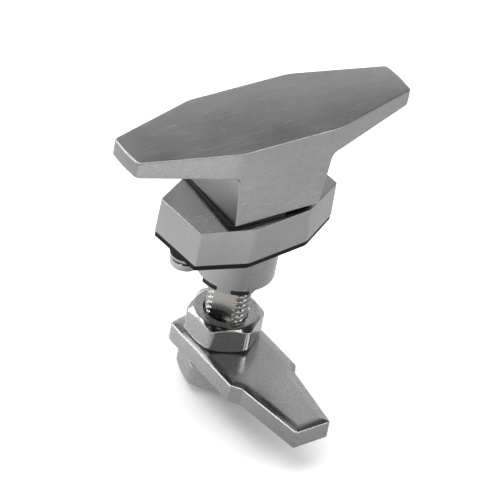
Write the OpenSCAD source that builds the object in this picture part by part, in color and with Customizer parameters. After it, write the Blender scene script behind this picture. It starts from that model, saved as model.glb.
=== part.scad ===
// T-grip compression latch for a panel door.
// Origin: on the shaft axis, in the plane where the gasket meets the panel.
// +Z points out of the door towards the grip, the base's long axis lies along X.
// At rest the cam reaches out along -Y and the grip stands a few degrees off the base.

/* [Grip] */
// Length of the grip over both ends
grip_l = 88.5; // [70:0.5:120]
// How far the grip's parallel middle and the stem stay inside the base's front and back
stem_inset = 1.65; // [0.5:0.05:4]
// Length of the parallel middle
grip_mid_l = 32; // [30:0.5:44]
// Width of the grip's ends
grip_end_w = 11.8; // [8:0.1:18]
// How far the ends bow outwards
grip_end_bow = 0.5; // [0.1:0.1:1.5]
// Height from the stem's foot to the top of the grip
grip_h = 24.5; // [20:0.5:36]
// Thickness of the arms at their ends
arm_end_t = 4.8; // [3:0.1:7]
// Thickness of the arms where they meet the stem
arm_root_t = 8.2; // [7:0.1:11]
// Width of the stem under the arms
stem_top_w = 30; // [26:0.5:34]
// Width of the stem at its foot
stem_foot_w = 26.9; // [20:0.1:30]
// Fillet between arm and stem
stem_fillet = 2; // [0.5:0.5:5]
// Radius of the end corners seen from above
grip_corner_r = 1.6; // [0.5:0.1:3]
// Radius that blends the middle into the tapering arms
grip_bend_r = 18; // [4:1:30]
// Turn of the grip from the base's long axis at rest
grip_turn = -5.6; // [-20:0.1:5]

/* [Glide plate] */
// Thickness of the black plate under the stem
glide_t = 1.1; // [0.8:0.1:2]
// How far the plate stands out beyond the stem's sides
glide_lip = 0.5; // [0:0.1:1.5]
// Turn of the plate from the stem
glide_turn = -3; // [-6:0.5:6]
// Width of the relieved front corner
glide_cut_w = 10.5; // [6:0.5:12]
// Depth of the relieved front corner
glide_cut_d = 4; // [2:0.5:5]

/* [Base] */
// Distance from a panel screw's axis to the end of the base
screw_wall = 4.65; // [4.6:0.05:9]
// Width across the middle of the base
base_mid_w = 29.2; // [27:0.1:40]
// Width of the base's ends
base_end_w = 17.4; // [12:0.1:26]
// Length of the parallel middle at the top edge
base_mid_top_l = 18.4; // [12:0.1:26]
// Length of the parallel middle at the foot
base_mid_foot_l = 20.4; // [12:0.1:26]
// Thickness of the base
base_t = 10.85; // [9:0.05:16]
// Draft of the base's sides, foot to top
base_draft = 0.2; // [0:0.05:1]
// Radius of the base's corners
base_corner_r = 0.8; // [0.3:0.1:2]
// Radius that blends the middle of the base into its tapering ends
base_bend_r = 5; // [1:0.5:9]
// Thickness of the roof that carries the spindle's neck
roof_t = 3.95; // [3.5:0.05:6]

/* [Boss] */
// Diameter of the boss that fills the panel's cut-out
boss_d = 22; // [21.6:0.1:26]
// Length of the boss below the panel's face
boss_h = 13.5; // [12.5:0.5:24]
// Bore of the housing
bore_d = 17.2; // [16.6:0.1:18]
// Height of the claws under the boss
claw_h = 1.4; // [0.8:0.1:3]
// Depth of the end bush in the bore
bush_seat = 1.3; // [1:0.1:2]
// Thickness of the snap ring
ring_t = 1; // [0.8:0.1:1.2]
// Depth of the snap ring's groove
ring_groove = 0.6; // [0.3:0.1:0.8]

/* [Panel gasket] */
// Thickness of the gasket
gasket_t = 1.5; // [1:0.1:3]
// How far the gasket stays inside the base's edge
gasket_inset = 0.15; // [0:0.05:1]

/* [Spindle] */
// Diameter of the neck in the roof
neck_d = 14; // [13.6:0.1:15]
// Size of the square tenon in the stem
tenon_s = 10; // [8:0.5:12]
// Length of the tenon
tenon_l = 10.5; // [8:0.5:14]
// Wall of the sleeve under the helical slots
slot_wall = 1.5; // [1:0.1:2]
// Play of the follower pin in the helical slots
slot_play = 0.5; // [0.2:0.1:0.8]
// Gap round the grip screw's head
head_gap = 0.75; // [0.3:0.05:1]
// Lift of the cam when the grip is turned on to clamp
pull = 5; // [3:0.5:5.5]
// Turn of the grip that lifts the cam
pull_turn = 90; // [60:5:90]
// Section of the neck's seal ring
seal_d = 1; // [0.8:0.1:1.3]
// Thickness of the thrust washer
thrust_t = 0.7; // [0.5:0.1:1]

/* [Rotor] */
// Height of the rotor that turns with the stud
rotor_h = 3.85; // [3.4:0.05:5]
// Turn of rotor and cam between their two stops
latch_turn = 90; // [60:5:120]
// Turn of rotor and cam past the first stop at rest
cam_turn = -4.4; // [-20:0.1:0]
// Diameter of the stop pin
stop_d = 2.4; // [1.6:0.1:2.6]

/* [Stud] */
// Diameter over the stud's thread
stud_d = 11.9; // [10:0.1:12]
// Width across the stud's two flats
stud_af = 8; // [7.4:0.1:10.5]
// Turn of the flats' normal from the X axis
flat_turn = 26; // [0:0.1:90]
// Diameter of the follower pin through the stud
pin_d = 3; // [2:0.5:3]
// Length of stud above the follower pin
pin_wall = 1.6; // [1:0.1:2]
// Free length of stud between the claws and the upper nut
stud_show = 13.2; // [8:0.1:20]
// How far the stud stands out under the lower nut
stud_tail = 1.5; // [0.5:0.1:6]

/* [Nuts] */
// Width across the nuts' flats
nut_af = 19; // [17:0.5:21]
// Radius of the nuts' upright corners
nut_corner_r = 1.3; // [0.3:0.1:3]
// Height of the nuts
nut_h = 8.1; // [6:0.1:11]
// Turn of the upper nut's corner from the X axis
upper_nut_turn = -31.5; // [-60:0.5:60]
// Turn of the lower nut's corner from the X axis
lower_nut_turn = 10; // [-60:0.5:60]

/* [Cam] */
// Width of the cam's head
cam_w = 22; // [19:0.5:30]
// Thickness of the cam
cam_t = 6; // [3:0.5:9]
// Bevel along the cam's edges
cam_bevel = 0.9; // [0.3:0.1:1.2]
// Reach of the head behind the stud at its sides
cam_back = 9.4; // [8:0.1:14]
// Extra reach of the rear edge in its middle
cam_bow = 2.1; // [0.5:0.1:4]
// Distance from the stud to the head's front corners
cam_head_l = 20; // [13:0.5:26]
// Distance from the stud to the end of the shoulders
cam_shoulder_l = 22.8; // [15:0.1:30]
// Width of the arm below the shoulders
cam_arm_w = 17.6; // [12:0.1:18.8]
// Distance from the stud to the arm's tip
cam_reach = 43.6; // [34:0.1:70]
// Width of the tip
cam_tip_w = 11.4; // [6:0.1:16]

/* [Panel screws] */
// Distance between the two screws
screw_pitch = 38.6; // [36:0.1:39]
// Thread diameter of the screws
screw_d = 4; // [3:0.5:4.5]
// Diameter of the screw heads
head_d = 8.1; // [7:0.1:8.4]
// Height of the screw heads
head_h = 2.5; // [1.6:0.1:3.2]
// Depth of the thread in the base
screw_bite = 6.5; // [4:0.5:7.5]
// Diameter of the black sealing washers
seal_washer_d = 9; // [7:0.1:9.2]
// Thickness of the black sealing washers
seal_washer_t = 1.35; // [0.6:0.05:2]
// Diameter of the steel washers
steel_washer_d = 8.7; // [7:0.1:9]
// Thickness of the steel washers
steel_washer_t = 0.7; // [0.4:0.1:1.2]
// Thickness of the spring lock washers
lock_washer_t = 0.8; // [0.5:0.1:1.4]

/* [Grip screw] */
// Thread diameter of the screw that holds the grip
grip_screw_d = 5; // [4:0.5:5]
// Length of the screw in the grip beyond the tenon
grip_screw_bite = 7; // [4:0.5:8]
// Height of the screw's head
grip_head_h = 2.6; // [2:0.1:3]
// Thickness of the spring washer under its head
grip_lock_t = 1.1; // [0.8:0.1:1.4]

/* [Fits] */
// Radial gap of a running fit
run_gap = 0.05; // [0.02:0.01:0.1]
// Gap between faces that never touch
free_gap = 0.3; // [0.2:0.05:0.4]
// Gap of a seat within one assembly
seat_gap = 0.02; // [0.01:0.01:0.05]

/* [Hidden] */
base_l = screw_pitch + 2 * screw_wall;
$fn = 96;
eps = 0.01;

// Levels, from the panel's face upwards
base_top_z = gasket_t + base_t;
glide_z = base_top_z + run_gap;
foot_z = glide_z + glide_t;
grip_mid_w = base_mid_w - 2 * stem_inset;
grip_top_z = foot_z + grip_h;
roof_z = base_top_z - roof_t;
neck_z = roof_z - run_gap - thrust_t;
recess_top_z = foot_z - run_gap;

// Levels, from the boss's end upwards
boss_end_z = -boss_h;
bore_r = bore_d / 2;
bush_top_z = boss_end_z + bush_seat;
ring_z = bush_top_z + run_gap;
rotor_z = ring_z + ring_t + run_gap;
rotor_top_z = rotor_z + rotor_h;
stop_h = rotor_h / 2;
sleeve_z = rotor_top_z + free_gap;
sleeve_r = bore_r - free_gap;

// Follower pin, its helical slot and the spring above the stud
slot_d = pin_d + slot_play;
pin_z = sleeve_z + slot_wall + slot_d / 2;
pin_l = 2 * (sleeve_r - free_gap);
stud_top_z = pin_z + pin_d / 2 + pin_wall;
stud_r = stud_d / 2;
stud_bore_r = stud_r + run_gap;
grip_head_d = 1.7 * grip_screw_d;
recess_r = grip_head_d / 2 + head_gap;
seat_z = recess_top_z - grip_head_h - grip_lock_t - free_gap;
wire_d = stud_bore_r - recess_r - run_gap;
spring_r = stud_bore_r - run_gap - wire_d / 2;
spring_l = seat_z - stud_top_z - 2 * run_gap;
spring_turns = min(4, (spring_l - pull) / wire_d - 1);

// Levels of the nuts and the cam, from the claws downwards
claw_end_z = boss_end_z - claw_h;
upper_nut_z = claw_end_z - stud_show - nut_h;
cam_z = upper_nut_z - cam_t;
lower_nut_z = cam_z - nut_h;
stud_end_z = lower_nut_z - stud_tail;

// Panel screws, from the panel's face downwards
seal_washer_z = -seal_washer_t;
steel_washer_z = seal_washer_z - steel_washer_t;
lock_washer_z = steel_washer_z - lock_washer_t;
head_z = lock_washer_z - head_h;
lock_washer_d = 1.8 * screw_d;

// Claws and lugs at the boss's end: [first angle, last angle] of each, repeated half a turn on
claw_spans = [[-155.3, -134.6], [-108.1, -99.5]];
lug_spans = [[-182.3, -155.3], [-134.6, -108.1]];

// The stop pin stands behind the stud, and the rotor's recess leaves it the latch's turn
stop_angle = 90;
stop_r = bore_r - 0.2;
stop_half = asin(stop_d / 2 / stop_r) + 1;

function unit(v) = v / norm(v);

// Corner b of the path a-b-c as an arc of radius r; short sides limit the radius
function corner(a, b, c, r, n) =
    let (u = unit(a - b), v = unit(c - b), half = acos(min(1, max(-1, u * v))) / 2,
        t = min(r / tan(half), norm(a - b) * 0.49, norm(c - b) * 0.49), rr = t * tan(half),
        m = b + unit(u + v) * rr / sin(half), p = b + u * t - m, q = b + v * t - m,
        a0 = atan2(p.y, p.x), turn = atan2(p.x * q.y - p.y * q.x, p * q))
    [for (i = [0 : n]) m + rr * [cos(a0 + turn * i / n), sin(a0 + turn * i / n)]];

// Closed outline through points [x, y, radius]
function rounded(pts, n = 6) =
    let (k = len(pts), at = function (i) [pts[(i + k) % k].x, pts[(i + k) % k].y])
    [for (i = [0 : k - 1]) each pts[i].z > 0 ? corner(at(i - 1), at(i), at(i + 1), pts[i].z, n) : [at(i)]];

// Elongated octagon: overall length, end width, middle width, middle length, end and middle radii
function octagon(l, end_w, mid_w, mid_l, end_r, mid_r, bow = 0) =
    let (half = [[l / 2 - bow, -end_w / 2, end_r], if (bow > 0) [l / 2, 0, end_w],
        [l / 2 - bow, end_w / 2, end_r], [mid_l / 2, mid_w / 2, mid_r], [-mid_l / 2, mid_w / 2, mid_r]],
        n = len(half) - 2)
    [each half, [-l / 2 + bow, end_w / 2, end_r], if (bow > 0) [-l / 2, 0, end_w],
        [-l / 2 + bow, -end_w / 2, end_r], [-mid_l / 2, -mid_w / 2, mid_r], [mid_l / 2, -mid_w / 2, mid_r]];

module tube(r_out, r_in, h) {
    difference() {
        cylinder(r = r_out, h = h);
        translate([0, 0, -1]) cylinder(r = r_in, h = h + 2);
    }
}

module sector(r, span, h) {
    steps = max(2, ceil((span[1] - span[0]) / 30));
    linear_extrude(h)
        polygon([[0, 0], for (i = [0 : steps]) let (a = span[0] + (span[1] - span[0]) * i / steps)
            r / cos(15) * [cos(a), sin(a)]]);
}

// Round bar with two flats, for the stud and for the holes that it drives
module flatted(r, af, h) {
    rotate(flat_turn) intersection() {
        cylinder(r = r, h = h);
        translate([-af / 2, -r - 1, 0]) cube([af, 2 * r + 2, h]);
    }
}

module grip() {
    slope = (arm_root_t - arm_end_t) / ((grip_l - stem_top_w) / 2);
    side = [[grip_l / 2 + 1, grip_top_z, 0], [grip_l / 2 + 1, grip_top_z - arm_end_t + slope, 0],
        [stem_top_w / 2, grip_top_z - arm_root_t, stem_fillet], [stem_foot_w / 2, foot_z, 0]];
    mirrored = [for (i = [len(side) - 1 : -1 : 0]) [-side[i].x, side[i].y, side[i].z]];
    color("silver") rotate(grip_turn) difference() {
        intersection() {
            rotate([90, 0, 0]) linear_extrude(grip_mid_w + 2, center = true)
                polygon(rounded(concat(side, mirrored)));
            translate([0, 0, foot_z - 1]) linear_extrude(grip_h + 2)
                polygon(rounded(octagon(grip_l, grip_end_w, grip_mid_w, grip_mid_l,
                    grip_corner_r, grip_bend_r, grip_end_bow)));
        }
        translate([-tenon_s / 2 - run_gap, -tenon_s / 2 - run_gap, foot_z - 1])
            cube([tenon_s + 2 * run_gap, tenon_s + 2 * run_gap, tenon_l + 1 + free_gap]);
        translate([0, 0, foot_z])
            cylinder(d = grip_screw_d + 2 * seat_gap, h = tenon_l + grip_screw_bite + 1);
    }
}

module glide_plate() {
    w = stem_foot_w / 2 + glide_lip;
    d = grip_mid_w / 2;
    color("#1c1c1c") translate([0, 0, glide_z]) rotate(grip_turn + glide_turn) difference() {
        linear_extrude(glide_t) polygon(rounded([[-w, -d, 1], [w - glide_cut_w, -d, 0.4],
            [w - glide_cut_w + 1, -d + glide_cut_d, 0.4], [w, -d + glide_cut_d, 0.6],
            [w, d, 1], [-w, d, 1]], 4));
        translate([0, 0, -1]) cylinder(d = neck_d + 2 * run_gap, h = glide_t + 2);
    }
}

module spindle() {
    slot_steps = 6;
    color("gainsboro") rotate(grip_turn) difference() {
        union() {
            translate([0, 0, sleeve_z]) cylinder(r = sleeve_r, h = neck_z - sleeve_z);
            translate([0, 0, neck_z]) cylinder(d = neck_d, h = foot_z - neck_z);
            translate([-tenon_s / 2, -tenon_s / 2, foot_z - eps]) cube([tenon_s, tenon_s, tenon_l + eps]);
        }
        // Bore for the stud and the spring
        translate([0, 0, sleeve_z - 1]) cylinder(r = stud_bore_r, h = seat_z - sleeve_z + 1);
        // Recess for the screw's head, and the screw's hole
        translate([0, 0, seat_z - eps]) cylinder(r = recess_r, h = recess_top_z - seat_z + eps);
        translate([0, 0, seat_z]) cylinder(d = grip_screw_d + 2 * free_gap, h = tenon_l + grip_h);
        // Groove for the seal ring
        translate([0, 0, roof_z + roof_t / 2 - seal_d * 0.65]) difference() {
            cylinder(d = neck_d + 2, h = seal_d * 1.3);
            cylinder(r = neck_d / 2 - seal_d - seat_gap, h = seal_d * 1.3);
        }
        // Helical slot that lifts the follower pin as the grip turns on
        for (i = [0 : slot_steps - 1]) hull() for (j = [i, i + 1])
            translate([0, 0, pin_z + pull * j / slot_steps])
                rotate([0, 90, flat_turn - grip_turn + pull_turn * j / slot_steps])
                    cylinder(d = slot_d, h = 2 * bore_r + 2, center = true, $fn = 32);
    }
}

module neck_seal() {
    color("#1c1c1c") translate([0, 0, roof_z + roof_t / 2])
        rotate_extrude() translate([(neck_d - seal_d) / 2, 0]) circle(d = seal_d, $fn = 32);
}

module thrust_washer() {
    color("darkkhaki") translate([0, 0, neck_z]) tube(sleeve_r, neck_d / 2 + seat_gap, thrust_t);
}

module grip_screw() {
    head_top_z = recess_top_z - grip_lock_t;
    shank_l = recess_top_z - head_top_z + (foot_z - recess_top_z) + tenon_l + grip_screw_bite;
    color("lightgray") rotate(grip_turn) difference() {
        union() {
            translate([0, 0, head_top_z - grip_head_h]) cylinder(d = grip_head_d, h = grip_head_h);
            translate([0, 0, head_top_z - eps]) cylinder(d = grip_screw_d, h = shank_l + eps);
        }
        translate([0, 0, head_top_z - grip_head_h - 1]) cylinder(d = grip_screw_d * 0.9, h = 2.6, $fn = 6);
    }
}

// Split spring washer; the split is a narrow slanted gap
module split_washer(r_out, r_in, t) {
    difference() {
        tube(r_out, r_in, t);
        translate([(r_out + r_in) / 2, 0, t / 2]) rotate([35, 0, 0])
            cube([2 * (r_out - r_in), 0.35, 4 * t], center = true);
    }
}

module grip_lock_washer() {
    color("lightgray") translate([0, 0, recess_top_z - grip_lock_t + eps]) rotate(grip_turn)
        split_washer(grip_head_d / 2, grip_screw_d / 2 + 0.1, grip_lock_t - 2 * eps);
}

// Round wire swept along a helix; closed ends are left to the wire's own thickness
module return_spring() {
    sides = 8;
    steps = 14;
    rings = round(spring_turns * steps);
    rise = spring_l - wire_d;
    pts = [for (i = [0 : rings], k = [0 : sides - 1])
        let (a = 360 * i / steps, b = 360 * k / sides, r = spring_r + wire_d / 2 * cos(b))
        [r * cos(a), r * sin(a), wire_d / 2 + rise * i / rings + wire_d / 2 * sin(b)]];
    walls = [for (i = [0 : rings - 1], k = [0 : sides - 1])
        let (p = i * sides + k, q = i * sides + (k + 1) % sides) [p, p + sides, q + sides, q]];
    color("silver") translate([0, 0, stud_top_z + run_gap])
        polyhedron(pts, concat(walls, [[for (k = [0 : sides - 1]) k],
            [for (k = [sides - 1 : -1 : 0]) rings * sides + k]]), convexity = 8);
}

module housing() {
    foot = rounded(octagon(base_l, base_end_w, base_mid_w, base_mid_foot_l, base_corner_r, base_bend_r), 5);
    top = rounded(octagon(base_l - 2 * base_draft, base_end_w - 2 * base_draft, base_mid_w - 2 * base_draft,
        base_mid_top_l, base_corner_r, base_bend_r), 5);
    color("silver") difference() {
        union() {
            hull() {
                translate([0, 0, gasket_t]) linear_extrude(eps) polygon(foot);
                translate([0, 0, base_top_z - eps]) linear_extrude(eps) polygon(top);
            }
            translate([0, 0, boss_end_z]) cylinder(d = boss_d, h = boss_h + gasket_t + 1);
            // Claws that key the end bush
            for (turn = [0, 180], span = claw_spans) rotate(turn) intersection() {
                translate([0, 0, claw_end_z]) cylinder(d = boss_d, h = claw_h + 1);
                translate([0, 0, claw_end_z - 1]) sector(boss_d, span, claw_h + 2);
            }
        }
        translate([0, 0, claw_end_z - 1]) cylinder(r = bore_r, h = roof_z - claw_end_z + 1);
        cylinder(d = neck_d + 2 * run_gap, h = base_top_z + 1);
        // Groove for the snap ring, and the half-round seat of the stop pin
        translate([0, 0, ring_z - run_gap]) cylinder(r = bore_r + ring_groove, h = ring_t + 2 * run_gap);
        rotate(stop_angle) translate([stop_r, 0, boss_end_z - 1])
            cylinder(d = stop_d + 2 * seat_gap, h = rotor_z + stop_h - boss_end_z + 1);
        for (x = [-1, 1]) translate([x * screw_pitch / 2, 0, gasket_t - 1])
            cylinder(d = screw_d + 2 * seat_gap, h = screw_bite + 2);
    }
}

module panel_gasket() {
    cut = 2 * gasket_inset;
    color("#161616") difference() {
        linear_extrude(gasket_t) polygon(rounded(octagon(base_l - cut, base_end_w - cut,
            base_mid_w - cut, base_mid_foot_l, base_corner_r, base_bend_r), 5));
        translate([0, 0, -1]) cylinder(d = boss_d + 2 * run_gap, h = gasket_t + 2);
        for (x = [-1, 1]) translate([x * screw_pitch / 2, 0, -1])
            cylinder(d = screw_d + 2 * free_gap, h = gasket_t + 2);
    }
}

module end_bush() {
    color("#1c1c1c") difference() {
        union() {
            translate([0, 0, claw_end_z]) cylinder(r = bore_r - seat_gap, h = bush_top_z - claw_end_z);
            for (turn = [0, 180], span = lug_spans) rotate(turn) intersection() {
                translate([0, 0, claw_end_z]) cylinder(d = boss_d, h = claw_h - seat_gap);
                translate([0, 0, claw_end_z - 1])
                    sector(boss_d, [span[0] + 0.3, span[1] - 0.3], claw_h + 2);
            }
        }
        translate([0, 0, claw_end_z - 1]) cylinder(r = stud_r + free_gap, h = claw_h + boss_h);
        // Clearance round the foot of the stop pin's seat
        rotate(stop_angle) translate([stop_r, 0, claw_end_z - 1])
            cylinder(d = stop_d + 4 * run_gap, h = claw_h + boss_h);
    }
}

// Open snap ring with two eyes for the pliers
module bore_ring() {
    r_in = bore_r - 1.3;
    color("dimgray") translate([0, 0, ring_z]) difference() {
        union() {
            difference() {
                tube(bore_r + ring_groove - run_gap, r_in, ring_t);
                translate([0, 0, -1]) sector(2 * bore_r, [-108, -72], ring_t + 2);
            }
            for (a = [-114, -66]) rotate(a) translate([bore_r - 1.1, 0, 0]) cylinder(r = 1.05, h = ring_t);
        }
        for (a = [-114, -66]) rotate(a) translate([bore_r - 1.1, 0, -1]) cylinder(r = 0.5, h = ring_t + 2);
    }
}

module stop_pin() {
    color("lightgray") rotate(stop_angle) translate([stop_r, 0, rotor_z])
        cylinder(d = stop_d, h = stop_h - 0.1);
}

module rotor() {
    first = stop_angle + cam_turn - stop_half;
    color("tan") translate([0, 0, rotor_z]) difference() {
        cylinder(r = bore_r - run_gap, h = rotor_h);
        translate([0, 0, -1]) flatted(stud_bore_r, stud_af + 2 * run_gap, rotor_h + 2);
        // Rim recess in which the stop pin stands
        translate([0, 0, -1]) difference() {
            sector(2 * bore_r, [first, first + latch_turn + 2 * stop_half], stop_h + 1);
            cylinder(r = stop_r - stop_d / 2 - 0.1, h = stop_h + 2);
        }
    }
}

module follower_pin() {
    color("lightgray") translate([0, 0, pin_z]) rotate([0, 90, flat_turn])
        cylinder(d = pin_d, h = pin_l, center = true);
}

module stud() {
    l = stud_top_z - stud_end_z;
    bevel = 1;
    color("lightgray") translate([0, 0, stud_end_z]) difference() {
        intersection() {
            flatted(stud_r, stud_af, l);
            rotate_extrude() polygon([[0, 0], [stud_r - bevel, 0], [stud_r, bevel], [stud_r, l - bevel],
                [stud_r - bevel, l], [0, l]]);
        }
        translate([0, 0, pin_z - stud_end_z]) rotate([0, 90, flat_turn])
            cylinder(d = pin_d + 2 * seat_gap, h = stud_d + 2, center = true);
    }
}

// Hexagon nut with the corners turned off at both faces
module nut(turn) {
    corner_r = nut_af / 2 / cos(30);
    face_r = nut_af / 2 * 0.95;
    rim_r = corner_r + 1;
    drop = (rim_r - face_r) * tan(30);
    difference() {
        intersection() {
            rotate(turn) linear_extrude(nut_h) polygon(rounded([for (k = [0:5])
                [corner_r * cos(60 * k), corner_r * sin(60 * k), nut_corner_r]], 4));
            rotate_extrude() polygon([[0, 0], [face_r, 0], [rim_r, drop], [rim_r, nut_h - drop],
                [face_r, nut_h], [0, nut_h]]);
        }
        translate([0, 0, -1]) cylinder(r = stud_r + seat_gap, h = nut_h + 2);
        // Countersinks at both ends of the thread
        for (end = [0, 1]) translate([0, 0, end * nut_h]) mirror([0, 0, end]) translate([0, 0, -eps])
            cylinder(r1 = stud_r + 0.6, r2 = stud_r, h = 0.6);
    }
}

module upper_nut() {
    color("gainsboro") translate([0, 0, upper_nut_z]) nut(upper_nut_turn);
}

module lower_nut() {
    color("gainsboro") translate([0, 0, lower_nut_z]) nut(lower_nut_turn);
}

// A flat slab of the given outline with bevelled edges
module slab(outline, inner, t, bevel) {
    hull() {
        linear_extrude(t) polygon(inner);
        translate([0, 0, bevel]) linear_extrude(t - 2 * bevel) polygon(outline);
    }
}

function cam_head(cut) = let (w = cam_w / 2 - cut)
    rounded([[-w, -cam_head_l + cut, 0.6], [w, -cam_head_l + cut, 0.6], [w, cam_back - cut, 2],
        [0, cam_back + cam_bow - cut, 20], [-w, cam_back - cut, 2]], 6);

function cam_arm(cut) = let (root = cam_arm_w / 2 - cut, tip = cam_tip_w / 2 - cut,
    run = cam_shoulder_l - cam_head_l, w = cam_w / 2 - cut)
    rounded([[-tip, -cam_reach + cut, 0.8], [tip, -cam_reach + cut, 0.8], [root, -cam_shoulder_l, 0],
        [root, -cam_head_l + cut + run, 0], [-root, -cam_head_l + cut + run, 0],
        [-root, -cam_shoulder_l, 0]], 4);

function cam_neck(cut) = let (root = cam_arm_w / 2 - cut, w = cam_w / 2 - cut)
    [[-root, -cam_shoulder_l], [root, -cam_shoulder_l], [w, -cam_head_l], [w, -cam_head_l + 3],
        [-w, -cam_head_l + 3], [-w, -cam_head_l]];

module cam() {
    color("silver") translate([0, 0, cam_z]) difference() {
        rotate(cam_turn) {
            slab(cam_head(0), cam_head(cam_bevel), cam_t, cam_bevel);
            slab(cam_neck(0), cam_neck(cam_bevel), cam_t, cam_bevel);
            slab(cam_arm(0), cam_arm(cam_bevel), cam_t, cam_bevel);
        }
        translate([0, 0, -1]) flatted(stud_r + seat_gap, stud_af + 2 * seat_gap, cam_t + 2);
    }
}

module at_screws() {
    for (x = [-1, 1]) translate([x * screw_pitch / 2, 0, 0]) children();
}

module panel_screws() {
    round_r = 0.9;
    color("gainsboro") at_screws() {
        difference() {
            translate([0, 0, head_z]) rotate_extrude() polygon([[0, 0], [head_d / 2 - round_r, 0],
                for (a = [-75 : 15 : 0])
                    [head_d / 2 - round_r + round_r * cos(a), round_r + round_r * sin(a)],
                [head_d / 2, head_h], [0, head_h]]);
            translate([0, 0, head_z - 1]) cylinder(d = screw_d * 0.75, h = 2.4, $fn = 6);
        }
        translate([0, 0, lock_washer_z - eps])
            cylinder(d = screw_d, h = gasket_t + screw_bite - lock_washer_z + eps);
    }
}

module lock_washers() {
    color("lightgray") at_screws() translate([0, 0, lock_washer_z])
        split_washer(lock_washer_d / 2, screw_d / 2 + 0.1, lock_washer_t);
}

module steel_washers() {
    color("gainsboro") at_screws() translate([0, 0, steel_washer_z])
        tube(steel_washer_d / 2, screw_d / 2 + 0.15, steel_washer_t);
}

module seal_washers() {
    color("#161616") at_screws() translate([0, 0, seal_washer_z])
        tube(seal_washer_d / 2, screw_d / 2 + 0.1, seal_washer_t);
}

grip();
glide_plate();
spindle();
neck_seal();
thrust_washer();
grip_screw();
grip_lock_washer();
return_spring();
housing();
panel_gasket();
end_bush();
bore_ring();
stop_pin();
rotor();
follower_pin();
stud();
upper_nut();
lower_nut();
cam();
panel_screws();
lock_washers();
steel_washers();
seal_washers();
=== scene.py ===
from math import acos, atan2, cos, pi, radians, sin, tan

import bmesh
import bpy
from mathutils import Matrix, Quaternion, Vector


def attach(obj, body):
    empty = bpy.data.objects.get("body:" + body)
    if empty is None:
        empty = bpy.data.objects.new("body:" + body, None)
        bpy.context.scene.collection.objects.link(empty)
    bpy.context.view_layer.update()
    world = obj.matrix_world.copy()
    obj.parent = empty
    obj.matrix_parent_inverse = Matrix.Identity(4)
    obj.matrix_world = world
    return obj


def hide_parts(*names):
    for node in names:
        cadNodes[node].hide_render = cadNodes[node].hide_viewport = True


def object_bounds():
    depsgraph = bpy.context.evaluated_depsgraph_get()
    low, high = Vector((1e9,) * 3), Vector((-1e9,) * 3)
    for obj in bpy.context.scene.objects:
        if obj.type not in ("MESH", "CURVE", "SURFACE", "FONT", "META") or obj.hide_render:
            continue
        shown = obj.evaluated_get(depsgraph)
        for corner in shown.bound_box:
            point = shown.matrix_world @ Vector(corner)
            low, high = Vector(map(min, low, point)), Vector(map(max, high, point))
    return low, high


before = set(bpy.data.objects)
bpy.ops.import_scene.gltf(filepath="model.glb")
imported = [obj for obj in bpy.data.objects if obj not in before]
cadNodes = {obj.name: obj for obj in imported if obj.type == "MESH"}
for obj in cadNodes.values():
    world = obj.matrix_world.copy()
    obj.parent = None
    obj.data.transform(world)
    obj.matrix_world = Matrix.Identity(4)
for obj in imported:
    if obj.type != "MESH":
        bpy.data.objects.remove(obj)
cadLow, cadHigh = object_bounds()
scene = bpy.context.scene
mm = 0.001
print("frame loaded,", len(cadNodes), "CAD nodes")


# outlines and meshes are drawn in millimetres, toMesh turns them into metres
def corner(a, b, c, r, n):
    u, v = (a - b).normalized(), (c - b).normalized()
    half = acos(max(-1, min(1, u.dot(v)))) / 2
    t = min(r / tan(half), (a - b).length * 0.49, (c - b).length * 0.49)
    r = t * tan(half)
    mid = b + (u + v).normalized() * r / sin(half)
    p, q = b + u * t - mid, b + v * t - mid
    start = atan2(p.y, p.x)
    turn = atan2(p.x * q.y - p.y * q.x, p.dot(q))
    angles = [start + turn * i / n for i in range(n + 1)]
    return [mid + r * Vector((cos(a), sin(a))) for a in angles]


def rounded(points, n):
    # points are x, y, corner radius
    at = [Vector(p[:2]) for p in points]
    path = []
    for i, p in enumerate(points):
        path += corner(at[i - 1], at[i], at[(i + 1) % len(at)], p[2], n) if p[2] > 0 else [at[i]]
    return path


def octagon(length, endW, midW, midL, endR, midR, bow=0.0):
    x, e, m, k = length / 2, endW / 2, midW / 2, midL / 2
    end = [(x, 0, 3 * endW)] if bow else []
    far = [(-x, 0, 3 * endW)] if bow else []
    return [(x - bow, -e, endR), *end, (x - bow, e, endR), (k, m, midR), (-k, m, midR),
            (-x + bow, e, endR), *far, (-x + bow, -e, endR), (-k, -m, midR), (k, -m, midR)]


def turned(path, angle):
    c, s = cos(radians(angle)), sin(radians(angle))
    return [Vector((p[0] * c - p[1] * s, p[0] * s + p[1] * c)) for p in path]


def circle(r, n=96, x=0.0):
    return [Vector((x + r * cos(2 * pi * i / n), r * sin(2 * pi * i / n))) for i in range(n)]


def prism(low, z0, z1, top=None):
    bm = bmesh.new()
    a = [bm.verts.new((p[0], p[1], z0)) for p in low]
    b = [bm.verts.new((p[0], p[1], z1)) for p in (top or low)]
    bm.faces.new(a[::-1])
    bm.faces.new(b)
    for i in range(len(a)):
        j = (i + 1) % len(a)
        bm.faces.new((a[i], a[j], b[j], b[i]))
    return bm


def lathe(profile, n=96, x=0.0):
    # profile is a closed loop of (r, z) points round the tube's wall, either way round
    bm = bmesh.new()
    rings = []
    for r, z in profile:
        if r < 1e-6:
            rings.append([bm.verts.new((x, 0, z))])
        else:
            rings.append([bm.verts.new((x + r * cos(2 * pi * i / n), r * sin(2 * pi * i / n), z))
                          for i in range(n)])
    for k in range(len(rings)):
        a, b = rings[k], rings[(k + 1) % len(rings)]
        if len(a) == 1 and len(b) == 1:
            continue
        for i in range(n):
            j = (i + 1) % n
            face = [a[i % len(a)], a[j % len(a)], b[j % len(b)], b[i % len(b)]]
            bm.faces.new([v for s, v in enumerate(face) if v not in face[:s]])
    return bm


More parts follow.
